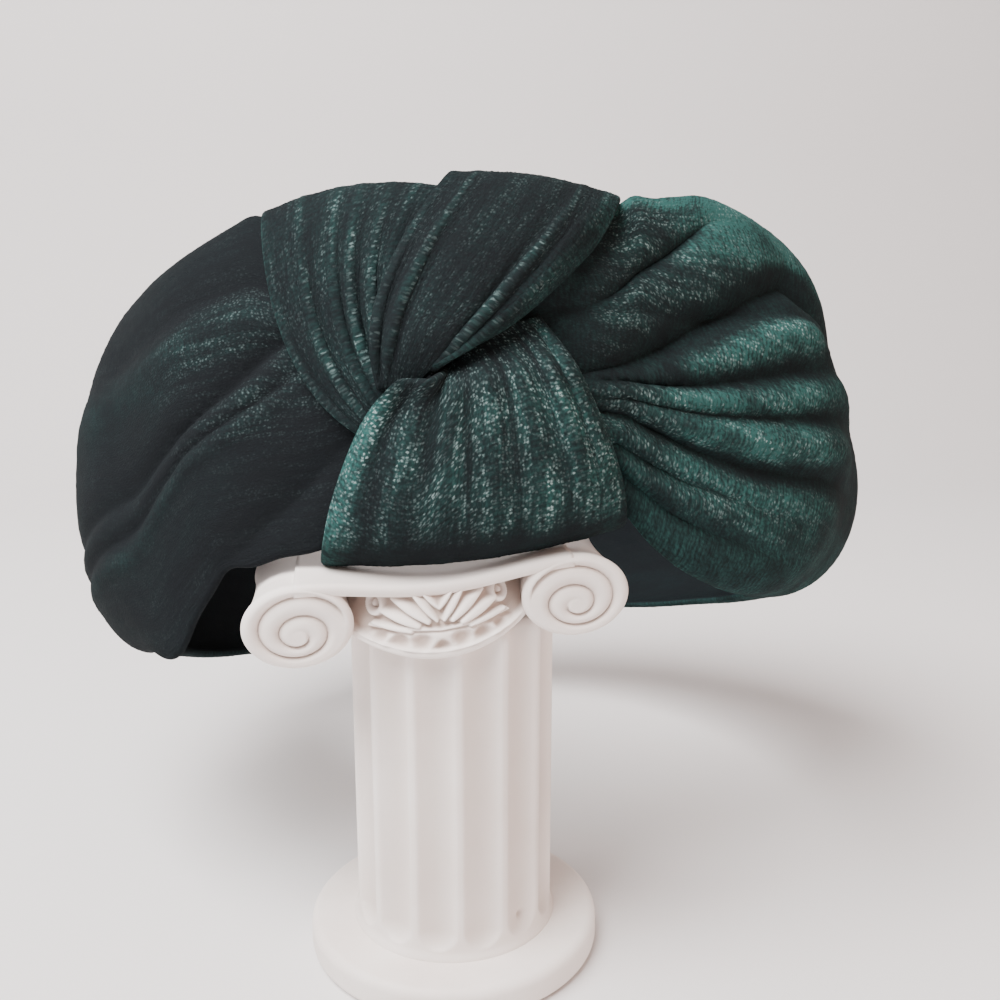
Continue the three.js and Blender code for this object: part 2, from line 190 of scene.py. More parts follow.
def fluted_radius(height, angle):
    """Radius of the shaft: its round less each flute's hollow, a half ellipse across that also closes
    as an ellipse below the flute's end, a small swelling at the foot, one pit left by an air bubble, and
    drawn in a little where it goes up into the drum."""
    from_middle = ((angle - FLUTE_PHASE) * FLUTES / (2 * np.pi)) % 1 - 0.5
    across = from_middle * 2 * np.pi * SHAFT_RADIUS / FLUTES / FLUTE_HALF_WIDTH
    below = np.maximum(FLUTE_END - height, 0) / FLUTE_HALF_WIDTH
    hollow = FLUTE_DEPTH * np.maximum(1 - across**2 - below**2, 0) ** FLUTE_FULLNESS
    swelling = SWELLING * np.exp(-(((height - FOOT_THICKNESS) / SWELLING_LENGTH) ** 2))
    pit_side = SHAFT_RADIUS * ((angle - PIT_ANGLE + np.pi) % (2 * np.pi) - np.pi)
    from_pit = np.hypot(pit_side, height - PIT_HEIGHT)
    pit = PIT_DEPTH * np.exp(-((from_pit / PIT_RADIUS) ** 2))
    drawn_in = SHAFT_DRAWN_IN * np.clip((height - SHAFT_TOP + DRAW_LENGTH) / DRAW_LENGTH, 0, 1)
    return SHAFT_RADIUS - hollow + swelling - pit - drawn_in


scoop_height = np.linspace(FOOT_THICKNESS - 1, SCOOP_TOP, 45)
shaft_height = np.concatenate([scoop_height, np.linspace(SCOOP_TOP + 1, SHAFT_TOP, 40)])
shaft_angle = 2 * np.pi * np.arange(SHAFT_SIDES) / SHAFT_SIDES
shaft_radius = fluted_radius(shaft_height[:, None], shaft_angle[None, :])
# Painted shade and dust in the flute hollows
shaft_shade_and_dust = FLUTE_SHADE_AND_DUST * np.clip((SHAFT_RADIUS - shaft_radius) / FLUTE_DEPTH, 0, 1)
cast_body("column_shaft", round_the_axis(shaft_radius, shaft_height[:, None], SHAFT_SIDES), shaft_shade_and_dust)


# Column stand, drum: the round neck under the capital, cast with the shaft. It swells down to a beaded
# rim that arches up beside the scrolls, and a leaf spray stands in a sunk field at its front and its back.
DRUM_TOP_RADIUS, DRUM_RIM_RADIUS = 17.8, 22.6
DRUM_TOP, DRUM_RIM = -1.4, -13.4
DRUM_ARCH, DRUM_ARCH_HALF, DRUM_ARCH_LIMIT = 3.5, 15.5, 1.4
DRUM_SIDES = 480
BEAD_HALF, BEAD_PROUD = 0.75, 0.7
FIELD_START, FIELD_SLOPE, FIELD_SUNK = 1.4, 0.4, 1.0
# Share of painted shade and dust in the sunk field
FIELD_SHADE_AND_DUST = 0.9
SPRAY_START, SPRAY_PROUD = 1.2, 1.35
UNDER_RADII = (DRUM_RIM_RADIUS - 0.8, 19.5, 15.0)
UNDER_LIFTS = (0.1, 0.8)
UNDER_END = -8
CAPITAL_TOP = 86.4
CAPITAL_TILT = np.radians(4.3)
CAPITAL_SHIFT = -4.5
Leaf = namedtuple("Leaf", "x0 z0 x1 z1 width height")
LEAVES = [
    Leaf(0, -4.6, 2.7, -2.0, 0.55, 1.1),
    Leaf(0.7, -6.5, 4.6, -2.0, 0.75, 1.3),
    Leaf(2.3, -6.7, 8.8, -2.4, 0.95, 1.3),
    Leaf(4.2, -7.3, 11.4, -4.4, 0.95, 1.3),
    Leaf(5.6, -8.2, 13.6, -6.6, 0.6, 1.1),
    Leaf(0, -8.2, 14.6, -7.0, 0.45, 0.9),
]
Pocket = namedtuple("Pocket", "x z half_width half_height taper")
POCKETS = [
    Pocket(0, -11.0, 1.5, 1.0, -0.7),
    Pocket(3.9, -10.3, 1.8, 1.4, 0.6),
    Pocket(8.2, -9.8, 1.8, 1.3, -0.5),
    Pocket(12.2, -8.9, 1.4, 1.0, 0.5),
]
CURL_X, CURL_Z, CURL_RADIUS = 12.9, -3.4, 1.6
CURL_HEIGHT, CURL_HALF = 1.2, 0.55
KNOB_HEIGHT, KNOB_RADIUS = 1.1, 0.6
FRET_MIDDLE, FRET_HALF, FRET_HEIGHT = -10.4, 2.1, 0.9


def capital_place(x, y, z):
    """Points of the capital, given from the middle of its top, tilted low on the left and shifted."""
    cos, sin = np.cos(CAPITAL_TILT), np.sin(CAPITAL_TILT)
    x, y, z = np.broadcast_arrays(x, y, z)
    return np.stack([x * cos - z * sin + CAPITAL_SHIFT, y, x * sin + z * cos + CAPITAL_TOP], -1)


def leaf_relief(x, z):
    """Height of the spray over the sunk field: each leaf is a rounded ridge that tapers to both ends of a
    line, the curl is a ring with a knob, and the fret below the leaves stands proud round its pockets, which
    narrow up or down."""
    relief = np.zeros(np.broadcast(x, z).shape)
    for leaf in LEAVES:
        run_x, run_z = leaf.x1 - leaf.x0, leaf.z1 - leaf.z0
        share = np.clip(((x - leaf.x0) * run_x + (z - leaf.z0) * run_z) / (run_x**2 + run_z**2), 0, 1)
        away = np.hypot(x - leaf.x0 - share * run_x, z - leaf.z0 - share * run_z)
        width = leaf.width * (0.55 + 0.45 * np.sin(np.pi * share))
        relief = np.maximum(relief, leaf.height * np.exp(-((away / width) ** 4)))
    from_curl = np.hypot(x - CURL_X, z - CURL_Z)
    relief = np.maximum(relief, CURL_HEIGHT * np.exp(-(((from_curl - CURL_RADIUS) / CURL_HALF) ** 4)))
    relief = np.maximum(relief, KNOB_HEIGHT * np.exp(-((from_curl / KNOB_RADIUS) ** 4)))
    solid = np.ones(relief.shape)
    for pocket in POCKETS:
        level = np.clip((z - pocket.z) / pocket.half_height, -1.5, 1.5)
        wide = pocket.half_width * (1 + 0.5 * pocket.taper * level)
        solid *= 1 - np.exp(-((((x - pocket.x) / wide) ** 2 + level**2) ** 2))
    fret = np.exp(-(((z - FRET_MIDDLE) / FRET_HALF) ** 6)) * solid
    return np.maximum(relief, FRET_HEIGHT * fret)


drum_angle = 2 * np.pi * np.arange(DRUM_SIDES)[None, :] / DRUM_SIDES
from_front = np.abs(np.abs((drum_angle - np.pi) % (2 * np.pi) - np.pi) - np.pi / 2)
down = np.linspace(0, 1, 90)[:, None]
arch = (DRUM_RIM_RADIUS * np.sin(from_front) / DRUM_ARCH_HALF) ** 2
arch = DRUM_ARCH * np.minimum(arch, DRUM_ARCH_LIMIT)
drum_z = DRUM_TOP + (DRUM_RIM + arch - DRUM_TOP) * down
drum_round = DRUM_TOP_RADIUS + (DRUM_RIM_RADIUS - DRUM_TOP_RADIUS) * np.sin(np.pi / 2 * down)
above_rim = drum_z - DRUM_RIM - arch
rim_bead = BEAD_PROUD * np.exp(-(((above_rim - BEAD_HALF) / BEAD_HALF) ** 4))
field = np.clip((above_rim - FIELD_START) / FIELD_SLOPE, 0, 1) * FIELD_SUNK
spray = leaf_relief(drum_round * from_front, drum_z)
spray = spray * np.clip((above_rim - SPRAY_START) / FIELD_SLOPE, 0, 1)
drum_radius = drum_round + rim_bead - field + SPRAY_PROUD * spray
# Painted shade and dust in the sunk field, less on the spray
drum_shade_and_dust = FIELD_SHADE_AND_DUST * np.clip(field / FIELD_SUNK - spray, 0, 1)
under_z = [*(DRUM_RIM + arch + lift for lift in UNDER_LIFTS), np.full(arch.shape, UNDER_END)]
under_radius = np.repeat(np.array(UNDER_RADII)[:, None], DRUM_SIDES, axis=1)
drum_radius = np.concatenate([drum_radius, under_radius])
drum_shade_and_dust = np.concatenate([drum_shade_and_dust, np.zeros(under_radius.shape)])
drum_z = np.concatenate([drum_z, *under_z])
drum_x, drum_y = drum_radius * np.cos(drum_angle), drum_radius * np.sin(drum_angle)
cast_body("column_drum", capital_place(drum_x, drum_y, drum_z)[::-1], drum_shade_and_dust[::-1])


# Column stand, slab: the top of the capital, like a thick mat with round edges. It dips in the middle,
# where the lower fold of the knot lies in it, and rolls over into the scrolls at both ends.
SLAB_HALF_LENGTH = 26.8
SLAB_DIP = 2.5
SLAB_HALF_DEPTH = 18.6
SLAB_HALF_THICKNESS = 1.3


def rounded_loop(half_width, half_height, rounding, per_corner=10, per_side=16):
    """Loop of a rounded rectangle about its centre: a quarter circle at each corner, then points along
    each side."""
    sweep = np.linspace(0, np.pi / 2, per_corner)
    corner_u = half_width - rounding + rounding * np.cos(sweep)
    corner_v = half_height - rounding + rounding * np.sin(sweep)
    side_u = np.linspace(half_width - rounding, rounding - half_width, per_side + 2)[1:-1]
    side_v = np.linspace(half_height - rounding, rounding - half_height, per_side + 2)[1:-1]
    u = np.concatenate([corner_u, side_u, -corner_u[::-1], np.full(per_side, -half_width),
                        -corner_u, -side_u, corner_u[::-1], np.full(per_side, half_width)])
    v = np.concatenate([corner_v, np.full(per_side, half_height), corner_v[::-1], side_v,
                        -corner_v, np.full(per_side, -half_height), -corner_v[::-1], -side_v])
    return u, v


slab_y, slab_z = rounded_loop(SLAB_HALF_DEPTH, SLAB_HALF_THICKNESS, 0.95 * SLAB_HALF_THICKNESS)
slab_x = np.linspace(-SLAB_HALF_LENGTH, SLAB_HALF_LENGTH, 61)[:, None]
slab_lift = SLAB_DIP * (1 - np.cos(np.pi * slab_x / SLAB_HALF_LENGTH)) / 2
cast_body("column_slab", capital_place(slab_x, slab_y, slab_z - SLAB_HALF_THICKNESS + slab_lift))


# Column stand, scrolls: the rolled-up ends of the slab. Each shows a spiral on both faces that winds
# down to a round eye set low, and its side is drawn in at the middle.
SCROLL_HALF_WIDTH = 10.6
SCROLL_HALF_HEIGHT = 8.2
SCROLL_HALF_DEPTH = 18.8
SCROLL_ROUND = 1.6
SCROLL_WAIST = 0.10
SPIRAL_TURNS = 2.8
SPIRAL_LIP = 0.36
SPIRAL_DEPTH = 1.5
# Share of painted shade and dust at the bottom of the spiral groove
SPIRAL_SHADE_AND_DUST = 0.8
SPIRAL_START = 0.5
SCROLL_SIDES = 160
EYE_SIZE, EYE_EDGE = 0.17, 0.012
EYE_DROP = 2.4


def spiral_cut(share, wind):
    """Depth of the spiral groove on a face. It lies where the turns counted inwards from the lip, less the
    share of a full turn wound, make a whole number, with round ridges between. The eye stays proud."""
    turns = SPIRAL_TURNS * (1 - share) - SPIRAL_LIP - wind / (2 * np.pi)
    whole = np.round(turns)
    crest = 1 - 2 * np.abs(turns - whole)
    groove = SPIRAL_DEPTH * (1 - np.sqrt(np.maximum(1 - crest**2, 0)))
    begun = np.where(whole == 0, np.clip(wind / SPIRAL_START, 0, 1), whole > 0)
    outside_eye = 1 / (1 + np.exp(-(share - EYE_SIZE) / EYE_EDGE))
    return groove * begun * outside_eye


def scroll_rings(end):
    """Rings of one scroll along its depth, from the front face's centre over the rim and side to the
    back's, and the painted shade and dust of each point, which grows with its depth in the groove. On a
    face the rings shrink towards the low eye and the spiral is cut; the side is an ellipse with a waist."""
    angle = 2 * np.pi * np.arange(SCROLL_SIDES)[None, :] / SCROLL_SIDES
    rim_start = 1 - SCROLL_ROUND / SCROLL_HALF_WIDTH
    face_share = np.linspace(0.02, rim_start, 80)[:, None]
    sweep = np.linspace(0, np.pi / 2, 8)[1:, None]
    rim_share = rim_start + (1 - rim_start) * np.sin(sweep)
    rim_depth = SCROLL_HALF_DEPTH - SCROLL_ROUND * (1 - np.cos(sweep))
    side_depth = np.linspace(-1, 1, 17)[1:-1, None] * (SCROLL_HALF_DEPTH - SCROLL_ROUND)
    side_share = 1 - SCROLL_WAIST * (1 - (side_depth / SCROLL_HALF_DEPTH) ** 2)
    wind = (np.pi / 2 + end * (angle - np.pi / 2)) % (2 * np.pi)
    cut = spiral_cut(face_share, wind)
    share = np.concatenate([face_share, rim_share, side_share, rim_share[::-1], face_share[::-1]])
    depth = np.concatenate([cut - SCROLL_HALF_DEPTH, -rim_depth + 0 * angle, side_depth + 0 * angle,
                            rim_depth[::-1] + 0 * angle, (SCROLL_HALF_DEPTH - cut)[::-1]])
    x = end * SLAB_HALF_LENGTH - SCROLL_HALF_WIDTH * share * np.cos(angle)
    middle = SLAB_DIP - SCROLL_HALF_HEIGHT - EYE_DROP * (1 - share)
    plain = np.zeros((2 * len(rim_depth) + len(side_depth), SCROLL_SIDES))
    # Painted shade and dust in the spiral groove
    pit = SPIRAL_SHADE_AND_DUST * np.concatenate([cut, plain, cut[::-1]]) / SPIRAL_DEPTH
    return capital_place(x, depth, middle + SCROLL_HALF_HEIGHT * share * np.sin(angle)), pit


cast_body("column_left_scroll", *scroll_rings(-1))
cast_body("column_right_scroll", *scroll_rings(1))


# Left band: the left half of the loop, a tube of stretch velvet turned right side out and pressed
# flat into two layers. It is gathered under the knot, swells over the ear and is sewn at the back.
WALL = 2
RING_HALF_WIDTH, RING_HALF_DEPTH = 75, 70
RING_CENTRE_X, RING_CENTRE_Y = 5.5, 66
RING_HEIGHT, RING_TILT, RING_SAG = 88.7, 35.5, 3
RING_LEAN = np.radians(12)
SEAM_LAP = 0.3
SLACK, SLACK_FROM, SLACK_FULL = 0.5, 25, 70
DRIFT_SIZE, DRIFT_PER_PLACE, DRIFT_PER_DEGREE = 34, 60, 1.3
HEM_CROWDING, KNOT_CROWDING = 0.7, 1.25
GATHER_FROM, GATHER_SWELL, GATHER_FADE = 2, 14, 0.55
LEFT_SECTIONS = {
    "angle": (0, 14, 26, 30, 34, 39, 44, 48, 53, 58, 62, 70, 80, 92, 130, 180),
    "rise": (27, 30, 32.4, 35.6, 35.2, 34.6, 34.6, 34.8, 35.6, 36.6, 37.6, 39, 39.4, 38.2, 33, 24),
    "drop": (22, 29.5, 33.2, 33.8, 33.6, 34.2, 33.4, 36.8, 41, 46.4, 47.2, 43, 41, 38.5, 37, 24),
    "bulge": (4.5, 6.4, 7.0, 7.8, 9.2, 10.8, 11, 11, 11.2, 11.8, 13, 16.8, 20, 21.4, 15, 8),
    "over": (70, 72, 80, 85, 90, 95, 98, 100, 100, 100, 100, 100, 100, 100, 100, 95),
    "under": (70, 66, 56, 55, 54, 54, 55, 57, 60, 63, 68, 80, 90, 100, 100, 95),
}
# Share of the painted light and glints that the back of the cloth keeps: the inside is painted shade
BACK_LIGHT_SHARE = 0.08
FUZZ = 0.045
# Velvet colours: near black for painted shade, green for painted light, grey teal for painted glints
VELVET_SHADE = (0.0098, 0.0112, 0.0130)
VELVET_LIT = (0.026, 0.080, 0.075)
VELVET_GLINT = (0.22, 0.30, 0.30)
Gather = namedtuple("Gather", "near far start end bend fall height width reach")
LEFT_GATHERS = [
    Gather(0.45, 0.30, 18, 60, 1, 0, -0.7, 0.08, 95),
    Gather(0.30, 0.17, 18, 60, 1, 0, 0.9, 0.09, 100),
    Gather(0.32, -0.20, 18, 66, 2, 0.003, -1.9, 0.06, 115),
    Gather(0.27, -0.26, 18, 66, 2.2, 0.003, 0.9, 0.05, 115),
    Gather(0.05, -0.34, 22, 70, 1.8, 0.003, -1.3, 0.045, 115),
    Gather(0.0, -0.42, 24, 70, 1.8, 0.003, 0.9, 0.05, 115),
    Gather(-0.3, -0.9, 16, 42, 1, 0, -1.6, 0.16, 55),
]


def unit(v):
    """Vectors scaled to a length of one."""
    return v / np.linalg.norm(v, axis=-1, keepdims=True)


def ease(x, low, high):
    """Smooth step from 0 at low to 1 at high."""
    t = np.clip((x - low) / (high - low), 0, 1)
    return t * t * (3 - 2 * t)


def through(at, keys, values):
    """Smooth curve through the values at the keys: cubic pieces with middle slopes, level at both ends."""
    x, y = np.array(keys, float), np.array(values, float)
    slope = np.zeros(len(x))
    slope[1:-1] = (y[2:] - y[:-2]) / (x[2:] - x[:-2])
    i = np.clip(np.searchsorted(x, at) - 1, 0, len(x) - 2)
    span = x[i + 1] - x[i]
    t = np.clip((at - x[i]) / span, 0, 1)
    start = (1 + 2 * t) * (1 - t) ** 2 * y[i] + t * (1 - t) ** 2 * span * slope[i]
    return start + t * t * (3 - 2 * t) * y[i + 1] - t * t * (1 - t) * span * slope[i + 1]


def ring_frame(angle):
    """Place on the ring at each angle from the knot, and the directions along it, up across the band and
    out of it. The ring is an ellipse that falls to the back, and the band leans in at the front."""
    sin, cos = np.sin(angle), np.cos(angle)
    point = np.stack([RING_CENTRE_X + RING_HALF_WIDTH * sin, RING_CENTRE_Y - RING_HALF_DEPTH * cos,
                      RING_HEIGHT + RING_TILT * cos + RING_SAG * np.cos(2 * angle)], -1)
    climb = -RING_TILT * sin - 2 * RING_SAG * np.sin(2 * angle)
    along = unit(np.stack([RING_HALF_WIDTH * cos, RING_HALF_DEPTH * sin, climb], -1))
    outwards = np.stack([sin / RING_HALF_WIDTH, -cos / RING_HALF_DEPTH, 0 * angle], -1)
    up = unit(np.cross(outwards, along))
    lean = (-RING_LEAN * cos)[..., None]
    up = up * np.cos(lean) + np.cross(along, up) * np.sin(lean)
    return point, along, up, np.cross(along, up)


def gather_height(gathers, place, angle):
    """Height of the gathers: each is a bell across a line that runs from near to far over the band as the
    angle grows and falls after that. It swells out of the knot and fades at its reach. Valleys are the
    sharper bells."""
    height = np.zeros(np.broadcast(place, angle).shape)
    for g in gathers:
        run = np.clip((angle - g.start) / (g.end - g.start), 0, 1)
        line = g.near + (g.far - g.near) * (1 - (1 - run) ** g.bend) - g.fall * np.maximum(angle - g.end, 0)
        swell = ease(angle, GATHER_FROM, g.start + GATHER_SWELL)
        fade = swell * (1 - ease(angle, GATHER_FADE * g.reach, g.reach))
        away = np.abs(place - line) / g.width
        bell = np.exp(-(away**2)) if g.height > 0 else np.exp(-(away**1.4))
        height += g.height * fade * bell
    return height


def drift(u, v, size, seed):
    """Slow unevenness between -1 and 1: a few crossed waves of about this size, with seeded phases."""
    phases = np.random.default_rng(seed).uniform(0, 2 * np.pi, (5, 3))
    total = 0
    for a, b, c in phases:
        run = u * np.cos(a) + v * np.sin(a)
        total = total + np.sin(2 * np.pi * run / size + b) * np.cos(c + v / size)
    return total / len(phases)


def band_surface(sections, gathers, side, seed, rows=150, columns=250):
    """Middle surface of half the band, the height of its gathers, and each point's place across and angle.
    Across, each section is an arch from hem to hem that turns in by its over and under angles; along, the
    sections follow the ring to the back seam."""
    spread = np.linspace(0, 1, rows)[:, None]
    place = 2 * (spread - HEM_CROWDING * np.sin(2 * np.pi * spread) / (2 * np.pi)) - 1
    lap = np.degrees(SEAM_LAP / 2 / RING_HALF_WIDTH)
    angle = (180 + 2 * lap) * np.linspace(0, 1, columns)[None, :] ** KNOT_CROWDING - lap
    value = {name: through(angle, sections["angle"], sections[name]) for name in sections}
    over, under = np.radians(value["over"]), np.radians(value["under"])
    curl = np.where(place > 0, over, under)
    turn = place * curl
    reach = np.where(place > 0, value["rise"], value["drop"]) / np.sin(np.minimum(curl, np.pi / 2))
    puff = value["bulge"] / (1 - np.cos(over))
    height = gather_height(gathers, place, angle)
    uneven = drift(DRIFT_PER_PLACE * place, DRIFT_PER_DEGREE * angle, DRIFT_SIZE, seed)
    height = height + SLACK * ease(angle, SLACK_FROM, SLACK_FULL) * uneven
    normal = unit(np.stack([reach * np.cos(turn), puff * np.sin(turn)], -1))
    outward = puff * (np.cos(turn) - np.cos(over)) + height * normal[..., 0]
    upward = reach * np.sin(turn) + height * normal[..., 1]
    point, _, up, out = ring_frame(side * np.radians(angle))
    return point + upward[..., None] * up + outward[..., None] * out, height, place, angle


def velvet_material():
    """Dark green stretch velvet with its light and shade painted in: one point attribute turns the colour
    from near black, painted shade, to green, painted light where the pile catches it, and the glint
    attribute paints glints in short dashes."""
    material = bpy.data.materials.new("velvet")
    material.use_nodes = True
    nodes, links = material.node_tree.nodes, material.node_tree.links
    shader = nodes["Principled BSDF"]
    shader.inputs["Roughness"].default_value = 0.85
    shader.inputs["Specular IOR Level"].default_value = 0.02
    shader.inputs["Sheen Weight"].default_value = 0.01
    shader.inputs["Sheen Roughness"].default_value = 0.35
    shader.inputs["Sheen Tint"].default_value = (0.55, 0.8, 0.76, 1)

    cloth = nodes.new("ShaderNodeUVMap")
    cloth.uv_map = "cloth"

    def lay(scale_u, scale_v):
        """Places on the cloth, scaled across and along."""
        mapping = nodes.new("ShaderNodeMapping")
        mapping.inputs["Scale"].default_value = (scale_u, scale_v, 1)
        links.new(cloth.outputs["UV"], mapping.inputs["Vector"])
        return mapping.outputs["Vector"]

    def noise(scale_u, scale_v, detail, output="Fac"):
        """Noise on the cloth, stretched by its own scale across and along."""
        texture = nodes.new("ShaderNodeTexNoise")
        texture.noise_dimensions = "2D"
        texture.inputs["Scale"].default_value = 1
        texture.inputs["Detail"].default_value = detail
        links.new(lay(scale_u, scale_v), texture.inputs["Vector"])
        return texture.outputs[output]

    def spread(value, low, high):
        """Value stretched so that low becomes 0 and high 1."""
        node = nodes.new("ShaderNodeMapRange")
        node.inputs["From Min"].default_value = low
        node.inputs["From Max"].default_value = high
        links.new(value, node.inputs["Value"])
        return node.outputs["Result"]

    def combine(operation, first, second):
        """Sum, product or power of two values, the second of which may be a number."""
        node = nodes.new("ShaderNodeMath")
        node.operation = operation
        links.new(first, node.inputs[0])
        if isinstance(second, (int, float)):
            node.inputs[1].default_value = second
        else:
            links.new(second, node.inputs[1])
        return node.outputs["Value"]

    def attribute(name):
        """Value that the mesh carries at each point."""
        node = nodes.new("ShaderNodeAttribute")
        node.attribute_name = name
        return node.outputs["Fac"]

    def blend(factor, first, second):
        """Colour between two, each a link or a fixed colour."""
        node = nodes.new("ShaderNodeMix")
        node.data_type = "RGBA"
        for socket, colour in (("A", first), ("B", second)):
            if isinstance(colour, tuple):
                node.inputs[socket].default_value = (*colour, 1)
            else:
                links.new(colour, node.inputs[socket])
        links.new(factor, node.inputs["Factor"])
        return node.outputs["Result"]

    def uneven(value, low, high, least, most):
        """Value stretched as above, then kept between least and most."""
        return combine("ADD", combine("MULTIPLY", spread(value, low, high), most - least), least)

    def sparks(scale_u, scale_v):
        """Separate glints, one ragged spot in each uneven cell, each of its own brightness and most of
        them dim."""
        ragged = nodes.new("ShaderNodeVectorMath")
        ragged.operation = "MULTIPLY_ADD"
        ragged.inputs[1].default_value = (0.7, 0.7, 0)
        links.new(noise(3.1, 2.6, 1, "Color"), ragged.inputs[0])
        links.new(lay(scale_u, scale_v), ragged.inputs[2])
        cells = nodes.new("ShaderNodeTexVoronoi")
        cells.voronoi_dimensions = "2D"
        cells.inputs["Scale"].default_value = 1
        links.new(ragged.outputs["Vector"], cells.inputs["Vector"])
        chance = nodes.new("ShaderNodeSeparateColor")
        links.new(cells.outputs["Color"], chance.inputs["Color"])
        bright = combine("POWER", spread(chance.outputs["Red"], 0.15, 1.0), 1.6)
        return combine("MULTIPLY", spread(cells.outputs["Distance"], 0.52, 0.1), bright)

    patches = uneven(noise(0.13, 0.09, 3), 0.3, 0.7, 0.45, 1.45)
    rows = uneven(noise(0.3, 1.6, 1), 0.3, 0.7, 0.5, 1.5)
    grain = uneven(noise(1.6, 1.2, 2), 0.3, 0.7, 0.5, 1.5)
    streaks = uneven(noise(0.5, 0.05, 2), 0.40, 0.60, 0.15, 1.0)
    # Painted glints and painted light, each scaled by its point attribute and made uneven by noise
    glitter = combine("MULTIPLY", combine("MULTIPLY", streaks, attribute("glint")), patches)
    lean = combine("MULTIPLY", combine("MULTIPLY", attribute("painted_shading"), patches), rows)
    lean = combine("ADD", lean, combine("MULTIPLY", glitter, 0.22))
    # The pile's colour runs from painted shade to painted light
    pile = blend(combine("MULTIPLY", lean, grain), VELVET_SHADE, VELVET_LIT)
    # Painted glints: grey teal spots blended over the pile
    shown = combine("MULTIPLY", glitter, sparks(1.4, 1.6))
    links.new(blend(shown, pile, VELVET_GLINT), shader.inputs["Base Color"])

    bump = nodes.new("ShaderNodeBump")
    bump.inputs["Strength"].default_value = 0.5
    bump.inputs["Distance"].default_value = 0.0003
    links.new(noise(2.2, 1.4, 3), bump.inputs["Height"])
    links.new(bump.outputs["Normal"], shader.inputs["Normal"])
    return material


velvet = velvet_material()


def cloth_piece(name, middle, painted_shading, glint, width, node):
    """Closed cloth about a middle surface, turned so that its front faces out. Each face lies half a wall
    along the normal, and that half wall shrinks to nothing on a quarter circle at the borders, which makes
    round folded edges. The UV map is the cloth laid flat, as wide as it was cut. The back keeps only a
    small share of the painted light and glints, so it is painted shade."""
    rows, columns = middle.shape[:2]
    painted_shading, glint = (np.broadcast_to(value, (rows, columns)) for value in (painted_shading, glint))
    normal = unit(np.cross(np.gradient(middle, axis=0), np.gradient(middle, axis=1)))
    if np.sum(normal * (middle - middle.mean((0, 1)))) < 0:
        middle, normal, painted_shading, glint = middle[::-1], -normal[::-1], painted_shading[::-1], glint[::-1]
    across = np.linalg.norm(np.diff(middle, axis=0), axis=-1)
    along = np.linalg.norm(np.diff(middle, axis=1), axis=-1)
    u = np.concatenate([np.zeros((1, columns)), np.cumsum(across, 0)])
    v = np.concatenate([np.zeros((rows, 1)), np.cumsum(along, 1)], axis=1)
    border = np.minimum(np.minimum(u, u[-1:] - u), np.minimum(v, v[:, -1:] - v))
    half = WALL / 2 * np.sqrt(1 - (1 - np.clip(border / (WALL / 2), 0, 1)) ** 2)
    fuzz = np.random.default_rng(len(name)).normal(0, FUZZ, (2, rows, columns)) * (half > 0.9 * WALL / 2)
    front = middle + normal * (half + fuzz[0])[..., None]
    back = middle - normal * (half + fuzz[1])[..., None]

    inner = np.s_[1:-1, 1:-1]
    points = np.concatenate([front.reshape(-1, 3), back[inner].reshape(-1, 3)])
    fore = np.arange(rows * columns).reshape(rows, columns)
    aft = fore.copy()
    aft[inner] = rows * columns + np.arange((rows - 2) * (columns - 2)).reshape(rows - 2, columns - 2)

    def quads(index):
        """Four corners of each cell of a grid of point numbers."""
        return np.stack([index[:-1, :-1], index[1:, :-1], index[1:, 1:], index[:-1, 1:]], -1).reshape(-1, 4)

    faces = np.concatenate([quads(fore), quads(aft)[:, ::-1]])
    piece = add_mesh(name, points, faces.tolist(), velvet)
    mesh = piece.data

    def both(grid, share=1):
        """Values for the points of the front, then a share of them for those of the back."""
        return np.concatenate([grid.ravel(), share * grid[inner].ravel()])

    # Painted light and glints at each point; the back keeps only a small share, as painted shade
    for label, value in (("painted_shading", painted_shading), ("glint", glint)):
        carried = mesh.attributes.new(label, "FLOAT", "POINT")
        carried.data.foreach_set("value", both(value, BACK_LIGHT_SHARE).astype(np.float32))
    corners = np.empty(len(mesh.loops), np.int32)
    mesh.loops.foreach_get("vertex_index", corners)
    laid_flat = np.stack([both(width * u / u[-1:]), both(v)], -1)[corners]
    mesh.uv_layers.new(name="cloth").data.foreach_set("uv", laid_flat.astype(np.float32).ravel())
    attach(piece, "root")
    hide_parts(node)
    return piece


left_middle, left_height, left_place, left_angle = band_surface(LEFT_SECTIONS, LEFT_GATHERS, -1, 3)
# Painted light and glints: lighter on the gathers' crests and at the back, glints near the knot
left_near = (1 - ease(left_angle, 32, 52)) * (1 - ease(np.abs(left_place - 0.05), 0.15, 0.4))
left_back = ease(left_angle, 80, 130)
left_painted_shading = np.clip(0.01 + 0.06 * left_height + 0.12 * left_back, 0, 1)
left_glint = np.clip(0.04 + 0.22 * left_near * (1 + left_height) + 0.06 * left_back, 0.02, 1)
left_band = cloth_piece("velvet_left_band", left_middle, left_painted_shading, left_glint, 100, "left_band")


# Right band: the other half of the loop, made the same way. Its gathers stand higher, and more light is
# painted on it, as its nap runs the other way and catches more light.
RIGHT_SECTIONS = {
    "angle": (0, 14, 18.5, 20, 21.5, 23, 25, 28, 34, 44, 56, 70, 92, 130, 180),
    "rise": (27, 31, 32.4, 34.2, 36.2, 36.6, 37.2, 39, 42.2, 43.6, 44.6, 42.4, 37.4, 31, 24),
    "drop": (22, 21.5, 21.6, 21.7, 22, 23.4, 25.5, 27.8, 32.2, 36.4, 36.9, 33.8, 29.2, 26, 24),
    "bulge": (4.5, 7.6, 8.0, 8.0, 8.0, 8.0, 8.2, 8.6, 10.8, 15.8, 22.2, 23.2, 30, 15, 8),
    "over": (70, 72, 75, 76, 78, 79, 80, 82, 90, 100, 100, 100, 100, 100, 95),
    "under": (70, 72, 74, 75, 76, 78, 80, 84, 92, 100, 100, 100, 100, 100, 95),
}
